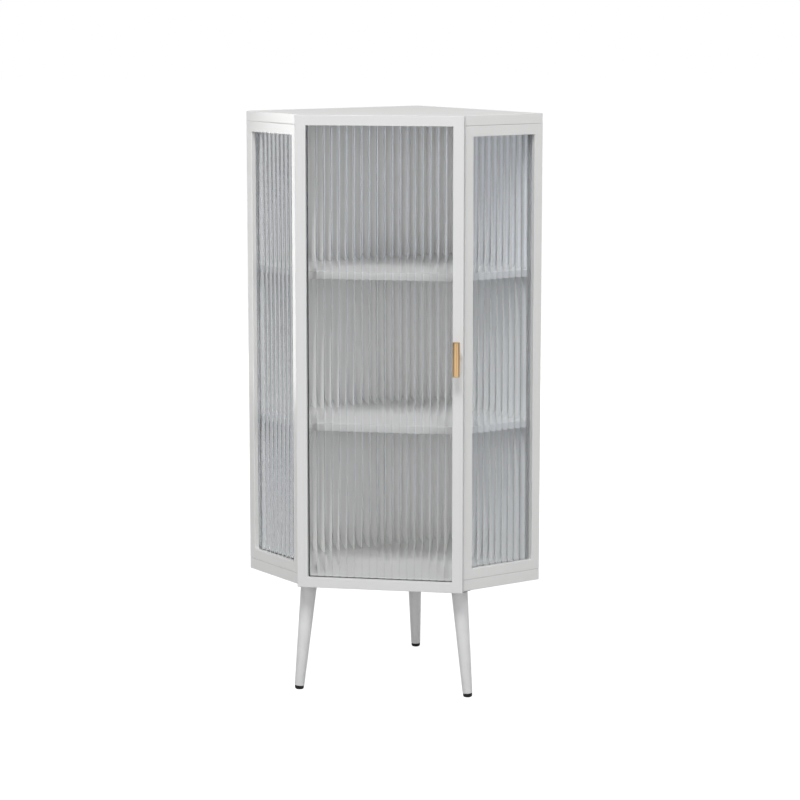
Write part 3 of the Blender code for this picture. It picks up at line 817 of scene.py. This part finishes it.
@dataclass(frozen=True)
class Glazing:
    """The three panes and their beads. The facing panes are those that the side lamps show in."""

    panes: ClassVar[tuple[str, ...]] = ("door_reeded_pane", "left_side_reeded_pane", "right_side_reeded_pane")
    facing_panes: ClassVar[tuple[str, ...]] = ("door_reeded_pane", "right_side_reeded_pane")
    side_beads: ClassVar[tuple[str, ...]] = ("left_side_glass_bead", "right_side_glass_bead")
    door_stile: float = 23 * MM
    door_rail: float = 22 * MM
    side_width: float = 203 * MM
    side_stile: float = 21 * MM
    side_rail: float = 22.5 * MM
    lip: float = 10 * MM
    glass_bite: float = 5 * MM

    def build(self) -> None:
        """Make the panes and dress the beads."""
        low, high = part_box("door_frame")
        inset = 2 * self.glass_bite
        middle = Vector(((low.x + high.x) / 2, low.y + self.lip + FIT_GAP, (low.z + high.z) / 2))
        ReededPane(
            Fit("door_reeded_pane", Body.DOOR, ("door_glass",)),
            DOOR_GLASS,
            high.x - low.x - 2 * self.door_stile + inset,
            high.z - low.z - 2 * self.door_rail + inset,
            Matrix.Translation(middle),
        ).build()
        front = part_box("bottom_board")[0].y
        for hand in Hand:
            low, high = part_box(f"{hand.label}_side_frame")
            corner_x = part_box("door_frame")[1].x * hand.value
            corner = Matrix.Translation((corner_x, front, (low.z + high.z) / 2))
            turn = Matrix.Rotation(hand.value * EIGHTH_TURN, 4, "Z")
            inner = Matrix.Translation((hand.value * self.side_width / 2, self.lip + FIT_GAP, 0))
            # The side panes' cool tint is painted light, for the bluish light at the top of the left pane.
            ReededPane(
                Fit(f"{hand.label}_side_reeded_pane", Body.CABINET, (f"{hand.label}_side_glass",)),
                SIDE_GLASS_PAINTED_COOL_LIGHT,
                self.side_width - 2 * self.side_stile + inset,
                high.z - low.z - 2 * self.side_rail + inset,
                corner @ turn @ inner,
            ).build()
        # The door bead's dark grey is painted shade: the shadow line along the door glass's rebate.
        dress(DOOR_BEAD_PAINTED_SHADE, "door_glass_bead")
        dress(SIDE_BEAD, *self.side_beads)


@dataclass(frozen=True)
class ShelfPins:
    """Twelve turned pins, six under each shelf."""

    radius: float = 2.5 * MM
    shank: float = 8 * MM
    peg: float = 8 * MM
    collar_radius: float = 3.5 * MM
    collar: float = 1 * MM
    easing: float = 0.25 * MM
    steps: int = 32
    turns: dict[str, float] = field(default_factory=lambda: {
        "front": EIGHTH_TURN, "shoulder": 3 * EIGHTH_TURN, "corner": 3 * EIGHTH_TURN,
    })

    def build(self) -> None:
        """Make the pins where the nodes are."""
        profile = [
            (0, self.collar + self.peg), (self.radius, self.collar + self.peg), (self.radius, self.collar),
            (self.collar_radius, self.collar), (self.collar_radius, FIT_GAP), (self.radius, FIT_GAP),
            (self.radius, -self.shank), (0, -self.shank),
        ]
        middle = Matrix.Translation((0, 0, (self.shank - self.collar - self.peg) / 2))
        for level in Level:
            for hand in Hand:
                for spot, turn in self.turns.items():
                    node = f"{level.label}_shelf_pin_{hand.label}_{spot}"
                    low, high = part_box(node)
                    seat = Matrix.Translation((low + high) / 2)
                    aim = Matrix.Rotation(hand.value * turn, 4, "Z") @ Matrix.Rotation(-QUARTER_TURN, 4, "X")
                    pin = Blank().turn(profile, self.steps).ease(self.easing).move(seat @ aim @ middle)
                    pin.hand_over(Fit(f"{node}_turned", replaced=(node,)), PIN_NICKEL)


@dataclass(frozen=True)
class Handle:
    """The T-bar handle on its post, and the screw that holds it from inside."""

    piece: ClassVar[str] = "door_handle_brass"
    bar_length: float = 73 * MM
    bar_radius: float = 7.4 * MM
    bar_easing: float = 1 * MM
    bar_steps: int = 96
    easing_segments: int = 5
    post_radius: float = 5 * MM
    screw_radius: float = 2 * MM
    screw_bore: float = 10 * MM

    def build(self) -> None:
        """Make the handle and its screw."""
        low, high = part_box("door_handle")
        centre = (low + high) / 2
        half = self.bar_length / 2
        lie = Matrix.Rotation(QUARTER_TURN, 4, "X")
        outline = [(0, half), (self.bar_radius, half), (self.bar_radius, -half), (0, -half)]
        bar = Blank().turn(outline, self.bar_steps).ease(self.bar_easing, self.easing_segments)
        bar.move(Matrix.Translation((centre.x, low.y + self.bar_radius, centre.z)))
        reach = high.y - low.y - self.bar_radius
        post = [
            (0, self.screw_bore), (self.screw_radius + FIT_GAP, self.screw_bore),
            (self.screw_radius + FIT_GAP, 0), (self.post_radius, 0), (self.post_radius, reach), (0, reach),
        ]
        base = Matrix.Translation((centre.x, high.y, centre.z)) @ lie
        handle = Blank().turn(post).move(base).combine(bar, "UNION")
        handle.hand_over(Fit(self.piece, Body.DOOR, ("door_handle",)), HANDLE_BRASS)
        dress(SCREW_ZINC, "handle_screw")


@dataclass(frozen=True)
class Hinges:
    """Three slim flush hinges, powder coated, with their screws.

    The leaves lie as deep as the strike discs, so each hinge is listed with the disc that gives its depth.
    """

    discs: ClassVar[dict[str, str]] = {
        "lower": "lower_catch_plate", "middle": "upper_catch_plate", "upper": "upper_catch_plate",
    }
    screw: CrossScrew = SMALL_SCREW
    proud: float = 0.15 * MM
    frame_reach: float = 14.5 * MM
    frame_rise: float = 22.5 * MM
    door_reach: float = 9.5 * MM
    door_rise: float = 8.5 * MM

    def build(self) -> None:
        """Dress the leaves and pins, and screw the leaves to the body and to the door."""
        towards_door = Matrix.Rotation(QUARTER_TURN, 4, "X")
        towards_body = Matrix.Rotation(-QUARTER_TURN, 4, "X")
        for label, disc in self.discs.items():
            dress(HINGE_ENAMEL, *(f"{label}_hinge_{piece}" for piece in ("frame_leaf", "door_leaf", "pin")))
            low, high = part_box(f"{label}_hinge_pin")
            axis = (low + high) / 2
            front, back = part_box(disc)
            outside, inside = front.y - self.proud, back.y + self.proud
            for sign, end in ((-1, "low"), (1, "high")):
                face = Vector((axis.x + self.frame_reach, outside, axis.z + sign * self.frame_rise))
                self.screw.drive(f"{label}_hinge_{end}_frame_screw", Body.CABINET, face, towards_door)
                face = Vector((axis.x + self.door_reach, inside, axis.z + sign * self.door_rise))
                self.screw.drive(f"{label}_hinge_{end}_door_screw", Body.DOOR, face, towards_body)


@dataclass(frozen=True)
class Catches:
    """Magnets with their strike discs, and the door's bumpers."""

    easing: float = 0.25 * MM
    easing_segments: int = 4
    screw: CrossScrew = SMALL_SCREW
    proud: float = 0.15 * MM

    def disc(self, node: str, name: str, body: Body, finish: Finish) -> None:
        """Make one turned disc where a node is, its axis along Y.

        Args:
            node: The node that it stands for.
            name: Its name.
            body: The body that it rides on.
            finish: Its surface finish.
        """
        low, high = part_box(node)
        centre, radius = (low + high) / 2, (high.z - low.z) / 2
        half = (high.y - low.y) / 2
        blank = Blank().turn([(0, half), (radius, half), (radius, -half), (0, -half)])
        blank.ease(self.easing, self.easing_segments)
        aim = Matrix.Translation(centre) @ Matrix.Rotation(QUARTER_TURN, 4, "X")
        blank.move(aim).hand_over(Fit(name, body, (node,)), finish)

    def build(self) -> None:
        """Make the catches at both levels."""
        for level in Level:
            label = level.label
            self.disc(f"{label}_catch_magnet", f"{label}_magnet_cup", Body.CABINET, MAGNET_NICKEL)
            self.disc(f"{label}_catch_plate", f"{label}_strike_disc", Body.DOOR, SCREW_ZINC)
            self.disc(f"{label}_door_bumper", f"{label}_clear_bumper", Body.CABINET, BUMPER_RUBBER)
            low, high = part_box(f"{label}_catch_plate")
            face = Vector(((low.x + high.x) / 2, high.y + self.proud, (low.z + high.z) / 2))
            self.screw.drive(f"{label}_strike_screw", Body.DOOR, face, Matrix.Rotation(-QUARTER_TURN, 4, "X"))


@dataclass(frozen=True)
class Leg:
    """One tapered, splayed leg with its plate, bolt and glide."""

    label: str
    turn: float
    splay_run: float = 24 * MM
    top_radius: float = 17.5 * MM
    foot_radius: float = 10.5 * MM
    easing: float = 1 * MM
    easing_segments: int = 4
    sharp: float = math.radians(60)
    steps: int = 96
    drop: float = 7.5 * MM
    bolt_radius: float = 4 * MM
    bolt_bite: float = 30 * MM
    glide_radius: float = 10 * MM
    glide_flat_radius: float = 6.5 * MM
    glide_height: float = 7.8 * MM
    glide_crown: float = 4 * MM
    stem_radius: float = 3 * MM
    stem: float = 12 * MM
    crown_steps: int = 8
    plate: float = 2 * MM
    plate_screws: int = 3
    plate_screw_circle: float = 22.5 * MM
    proud: float = 0.4 * MM
    screw: CrossScrew = CrossScrew()

    def build(self) -> None:
        """Make the leg and the glide, and dress the plate and the bolt."""
        low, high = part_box(f"{self.label}_leg_plate")
        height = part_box("bottom_board")[0].z
        tilt = math.atan2(self.splay_run, height)
        length = math.hypot(self.splay_run, height)
        foot = Vector(((low.x + high.x) / 2, (low.y + high.y) / 2, height))
        lean = Matrix.Rotation(self.turn, 4, "Z") @ Matrix.Rotation(-tilt, 4, "Y")
        seat = Matrix.Translation(foot) @ lean

        top = -self.drop - FIT_GAP
        glide_top = self.glide_height - length
        bottom = glide_top + FIT_GAP
        bolt_seat = self.bolt_radius + FIT_GAP
        bolt_end = top - self.bolt_bite - FIT_GAP
        stem_seat = self.stem_radius + FIT_GAP
        stem_end = bottom + self.stem + FIT_GAP
        profile = [
            (0, bolt_end), (bolt_seat, bolt_end), (bolt_seat, top), (self.top_radius, top),
            (self.foot_radius, bottom), (stem_seat, bottom), (stem_seat, stem_end), (0, stem_end),
        ]
        leg = Blank().turn(profile, self.steps).ease(self.easing, self.easing_segments, self.sharp)
        fit = Fit(f"{self.label}_turned_leg", replaced=(f"{self.label}_leg",))
        leg.move(seat).hand_over(fit, LEG_LACQUER)

        crown_low = glide_top - self.glide_height
        stem_top = glide_top + self.stem
        profile = [
            (0, stem_top), (self.stem_radius, stem_top), (self.stem_radius, glide_top),
            (self.glide_radius, glide_top), (self.glide_radius, crown_low + self.glide_crown),
        ]
        for count in range(1, self.crown_steps + 1):
            angle = QUARTER_TURN * count / self.crown_steps
            reach = self.glide_flat_radius + (self.glide_radius - self.glide_flat_radius) * math.cos(angle)
            profile.append((reach, crown_low + self.glide_crown * (1 - math.sin(angle))))
        below = crown_low - self.glide_height
        profile += [(self.glide_flat_radius, below), (0, below)]
        glide = Blank().turn(profile).move(seat).cut((0, 0, 0), (0, 0, -1))
        fit = Fit(f"{self.label}_moulded_glide", replaced=(f"{self.label}_foot_glide",))
        glide.hand_over(fit, GLIDE_PLASTIC)
        dress(SCREW_ZINC, f"{self.label}_leg_plate", f"{self.label}_leg_bolt")
        underside = high.z - self.plate - self.proud
        downwards = Matrix.Rotation(HALF_TURN, 4, "X")
        for count in range(self.plate_screws):
            angle = self.turn + math.tau * count / self.plate_screws
            out = Vector((math.cos(angle), math.sin(angle), 0)) * self.plate_screw_circle
            face = Vector((foot.x, foot.y, underside)) + out
            self.screw.drive(f"{self.label}_plate_screw_{count + 1}", Body.CABINET, face, downwards)


@dataclass(frozen=True)
class Softbox:
    """An oblong lamp behind a diffuser, aimed at the cabinet's middle.

    Its place is given by its azimuth, from straight in front towards the right, by its height angle and by
    its distance. Radiance is in units of plain white.
    """

    name: str
    azimuth: float
    height: float
    distance: float
    size: tuple[float, float]
    radiance: float
    shine: Shine = Shine.LIGHT
    colour: str = "#FFFFFF"
    target: tuple[float, float, float] = (0.0, -0.1, 0.75)

    def build(self, reach: dict[Shine, bpy.types.Collection]) -> None:
        """Hang the lamp and aim it.

        Args:
            reach: The clear pieces, which cast no shadow, and what each kind of reflection shows in.
        """
        lamp = bpy.data.lights.new(self.name, "AREA")
        lamp.shape = "RECTANGLE"
        lamp.size, lamp.size_y = self.size
        lamp.energy = self.radiance * math.pi * self.size[0] * self.size[1]
        lamp.color = linear(self.colour)[:3]
        azimuth, height = math.radians(self.azimuth), math.radians(self.height)
        aim = Vector((
            math.cos(height) * math.sin(azimuth), -math.cos(height) * math.cos(azimuth), math.sin(height),
        ))
        item = bpy.data.objects.new(self.name, lamp)
        item.location = Vector(self.target) + aim * self.distance
        item.rotation_euler = aim.to_track_quat("Z", "Y").to_euler()
        item.visible_camera = False
        item.visible_transmission = False
        lights = self.shine is Shine.LIGHT
        item.visible_glossy = not lights
        item.visible_diffuse = lights
        if lights:
            item.light_linking.blocker_collection = reach[self.shine]
        else:
            item.light_linking.receiver_collection = reach[self.shine]
        bpy.context.scene.collection.objects.link(item)


STRIP_SIZE = (0.25, 2.3)
STRIPS = (
    ("front", 0, 5.5), ("left", -40, 30.0), ("far_left", -66, 10.0),
    ("near_right", 34, 13.0), ("right", 53, 21.0), ("far_right", 68, 9.0),
)
LEFT_FRAME = (-0.19, -0.22, 1.05)
HANDLE_PLACE = (0.168, -0.25, 0.74)
WINDOW_LIGHT = "#D6E2FF"


@dataclass(frozen=True)
class Studio:
    """The camera, the pale floor, the surround and the lamps.

    Light crosses the ribs' faces many times before it leaves a pane, hence the number of bounces. The strips
    and the large boxes light the cabinet. The others show only as reflections in what they are named for.
    """

    camera_place: tuple[float, float, float] = (1.005, -5.5542, 1.504)
    camera_pitch: float = math.radians(81.044)
    camera_turn: float = math.radians(10.221)
    lens_mm: float = 116.5
    sensor_mm: float = 36.0
    bounces: int = 32
    floor_radius: float = 40.0
    floor_sides: int = 96
    floor_albedo: float = 0.35
    floor_glow: float = 0.88
    floor_shade_share: float = 0.35
    zenith: float = 0.60
    studio_grey: float = 0.17
    backdrop_gloss: float = 0.5
    ray_front: float = 0.55
    ray_back: float = 0.9
    floor_front: float = 1.0
    floor_back: float = 3.0
    lamps: tuple[Softbox, ...] = (
        *(Softbox(f"{label}_strip_box", turn, 4, 6.0, STRIP_SIZE, level) for label, turn, level in STRIPS),
        Softbox("high_front_box", 5, 56, 5.0, (2.0, 1.5), 14.8),
        Softbox("back_left_box", -146, 9, 5.0, (3.0, 2.6), 3.8),
        Softbox("back_right_box", 146, 9, 5.0, (3.0, 2.6), 3.8),
        Softbox("left_wood_box", -93, 0, 0.375, (0.28, 0.94), 5.6, Shine.WOOD_GLOSS, target=LEFT_FRAME),
        Softbox("left_metal_box", -24, 6, 1.5, (1.4, 2.4), 0.9, Shine.METAL_GLOSS, target=HANDLE_PLACE),
        Softbox("right_metal_box", 46, 6, 1.5, (1.4, 2.4), 0.9, Shine.METAL_GLOSS, target=HANDLE_PLACE),
        Softbox("left_low_glass_box", -76, 10, 1.7, (1.6, 3.0), 2.3, Shine.GLASS_GLOSS, WINDOW_LIGHT),
        Softbox("right_low_glass_box", 76, 10, 1.7, (1.6, 3.0), 0.7, Shine.GLASS_GLOSS, WINDOW_LIGHT),
        Softbox("left_high_glass_box", -76, 27, 1.9, (1.6, 2.0), 3.5, Shine.GLASS_GLOSS, WINDOW_LIGHT),
        Softbox("right_high_glass_box", 76, 27, 1.9, (1.6, 2.0), 2.3, Shine.GLASS_GLOSS, WINDOW_LIGHT),
    )

    def hang_camera(self) -> None:
        """Set the camera at the photograph's viewing angle."""
        data = bpy.data.cameras.new("camera")
        data.lens = self.lens_mm
        data.sensor_width = self.sensor_mm
        camera = bpy.data.objects.new("camera", data)
        camera.location = self.camera_place
        camera.rotation_euler = (self.camera_pitch, 0, self.camera_turn)
        bpy.context.scene.collection.objects.link(camera)
        bpy.context.scene.camera = camera

    def seen_share(self, tree: Tree) -> Socket:
        """Tell the rays that show the surround, in metal and glass too, from those that only light.

        Args:
            tree: The node tree of the surround or the floor.

        Returns:
            1 for a ray that shows it and 0 for lighting.
        """
        path = add_node(tree, "LightPath")
        seen = path.outputs["Is Camera Ray"]
        for name in ("Is Glossy Ray", "Is Transmission Ray"):
            links = {0: seen, 1: path.outputs[name]}
            seen = add_node(tree, "Math", {"operation": "MAXIMUM"}, links).outputs[0]
        scattered = {0: seen, 1: path.outputs["Diffuse Depth"]}
        return add_node(tree, "Math", {"operation": "SUBTRACT", "use_clamp": True}, scattered).outputs[0]

    def seen_level(self, tree: Tree, behind: Socket) -> Socket:
        """Work out how bright the surround looks: white, but dimmer in metal and glass towards the room.

        Args:
            tree: The node tree of the surround or the floor.
            behind: How far back a direction or a place lies, from 0 in front to 1 behind the cabinet.

        Returns:
            The brightness, where 1 is white.
        """
        path = add_node(tree, "LightPath")
        through = {"To Min": self.studio_grey, "To Max": 1.0}
        glass = add_node(tree, "MapRange", through, {"Value": behind}).outputs[0]
        mirrored = {"To Min": self.studio_grey, "To Max": self.backdrop_gloss}
        metal = add_node(tree, "MapRange", mirrored, {"Value": behind}).outputs[0]
        links = {0: path.outputs["Is Glossy Ray"], 2: glass, 3: metal}
        level = add_node(tree, "Mix", None, links).outputs[0]
        links = {0: level, 1: path.outputs["Is Camera Ray"]}
        return add_node(tree, "Math", {"operation": "MAXIMUM"}, links).outputs[0]

    def lay_floor(self) -> None:
        """Lay a plain pale floor that is white to the eye and keeps the object's shadow."""
        blank = Blank()
        bmesh.ops.create_circle(
            blank.mesh, cap_ends=True, radius=self.floor_radius, segments=self.floor_sides,
        )
        data = bpy.data.meshes.new("floor")
        blank.mesh.to_mesh(data)
        blank.mesh.free()
        floor = bpy.data.objects.new("floor", data)
        bpy.context.scene.collection.objects.link(floor)
        material = bpy.data.materials.new("matt_white_sweep")
        material.use_nodes = True
        tree = material.node_tree
        tree.nodes.clear()
        matt = {"Color": (self.floor_albedo,) * 3 + (1,)}
        lit = add_node(tree, "BsdfDiffuse", matt).outputs[0]
        place = add_node(tree, "TexCoord").outputs["Object"]
        depth = add_node(tree, "SeparateXYZ", None, {0: place}).outputs["Y"]
        span = {"From Min": self.floor_front, "From Max": self.floor_back}
        behind = add_node(tree, "MapRange", span, {"Value": depth}).outputs[0]
        level = self.seen_level(tree, behind)
        dimmed = {"operation": "MULTIPLY", 1: self.floor_glow}
        strength = add_node(tree, "Math", dimmed, {0: level}).outputs[0]
        glow = add_node(tree, "Emission", None, {"Strength": strength}).outputs[0]
        faint = {"Color": (self.floor_shade_share,) * 3 + (1,)}
        shaded = add_node(tree, "BsdfDiffuse", faint).outputs[0]
        white = add_node(tree, "AddShader", None, {0: glow, 1: shaded}).outputs[0]
        look = add_node(tree, "MixShader", None, {0: self.seen_share(tree), 1: lit, 2: white}).outputs[0]
        add_node(tree, "OutputMaterial", None, {"Surface": look})
        data.materials.append(material)

    def light_surround(self) -> None:
        """Make the surround: white to the eye, and for lighting a fill that grows towards the zenith."""
        world = bpy.data.worlds.new("white_surround")
        world.use_nodes = True
        tree = world.node_tree
        tree.nodes.clear()
        ray = add_node(tree, "TexCoord").outputs["Generated"]
        parts = add_node(tree, "SeparateXYZ", None, {0: ray})
        fill = {"To Min": 0.0, "To Max": self.zenith}
        level = add_node(tree, "MapRange", fill, {"Value": parts.outputs["Z"]}).outputs[0]
        light = add_node(tree, "Background", {"Color": WHITE}, {"Strength": level}).outputs[0]
        span = {"From Min": self.ray_front, "From Max": self.ray_back}
        behind = add_node(tree, "MapRange", span, {"Value": parts.outputs["Y"]}).outputs[0]
        seen = self.seen_level(tree, behind)
        white = add_node(tree, "Background", {"Color": WHITE}, {"Strength": seen}).outputs[0]
        look = add_node(tree, "MixShader", None, {0: self.seen_share(tree), 1: light, 2: white}).outputs[0]
        add_node(tree, "OutputWorld", None, {"Surface": look})
        bpy.context.scene.world = world

    def build(self, members: dict[Shine, Sequence[Item]]) -> None:
        """Set up the studio.

        Args:
            members: The clear pieces, which lamps shine through, and what each kind of reflection shows in.
        """
        scene = bpy.context.scene
        scene.view_settings.view_transform = "Standard"
        scene.cycles.use_denoising = True
        scene.cycles.max_bounces = self.bounces
        scene.cycles.transmission_bounces = self.bounces
        scene.cycles.glossy_bounces = self.bounces
        self.hang_camera()
        self.lay_floor()
        self.light_surround()
        reach = {}
        for shine, items in members.items():
            reach[shine] = bpy.data.collections.new(shine.value)
            for item in items:
                reach[shine].objects.link(item)
        for member in reach[Shine.LIGHT].collection_objects:
            member.light_linking.link_state = "EXCLUDE"
        for lamp in self.lamps:
            lamp.build(reach)


def main() -> None:
    """Build every sub-assembly in order."""
    logging.basicConfig(level=logging.INFO, format="%(message)s")
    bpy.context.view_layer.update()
    pieces = [
        Carcass(),
        Glazing(),
        ShelfPins(),
        Handle(),
        Hinges(),
        Catches(),
        Leg("front_left", math.radians(207)),
        Leg("front_right", math.radians(-27)),
        Leg("back", QUARTER_TURN),
    ]
    for piece in pieces:
        piece.build()
        LOG.info("built %s", type(piece).__name__)
    objects = bpy.data.objects
    panes = [objects[name] for name in Glazing.panes]
    beads = [frame["nodes"][name] for name in Glazing.side_beads]
    wood = [frame["nodes"][name] for name in (*Carcass.boards, "left_side_frame")]
    Studio().build({
        Shine.LIGHT: panes + beads,
        Shine.WOOD_GLOSS: wood,
        Shine.METAL_GLOSS: [objects[Handle.piece]],
        Shine.GLASS_GLOSS: [objects[name] for name in Glazing.facing_panes],
    })


if __name__ == "__main__":
    main()
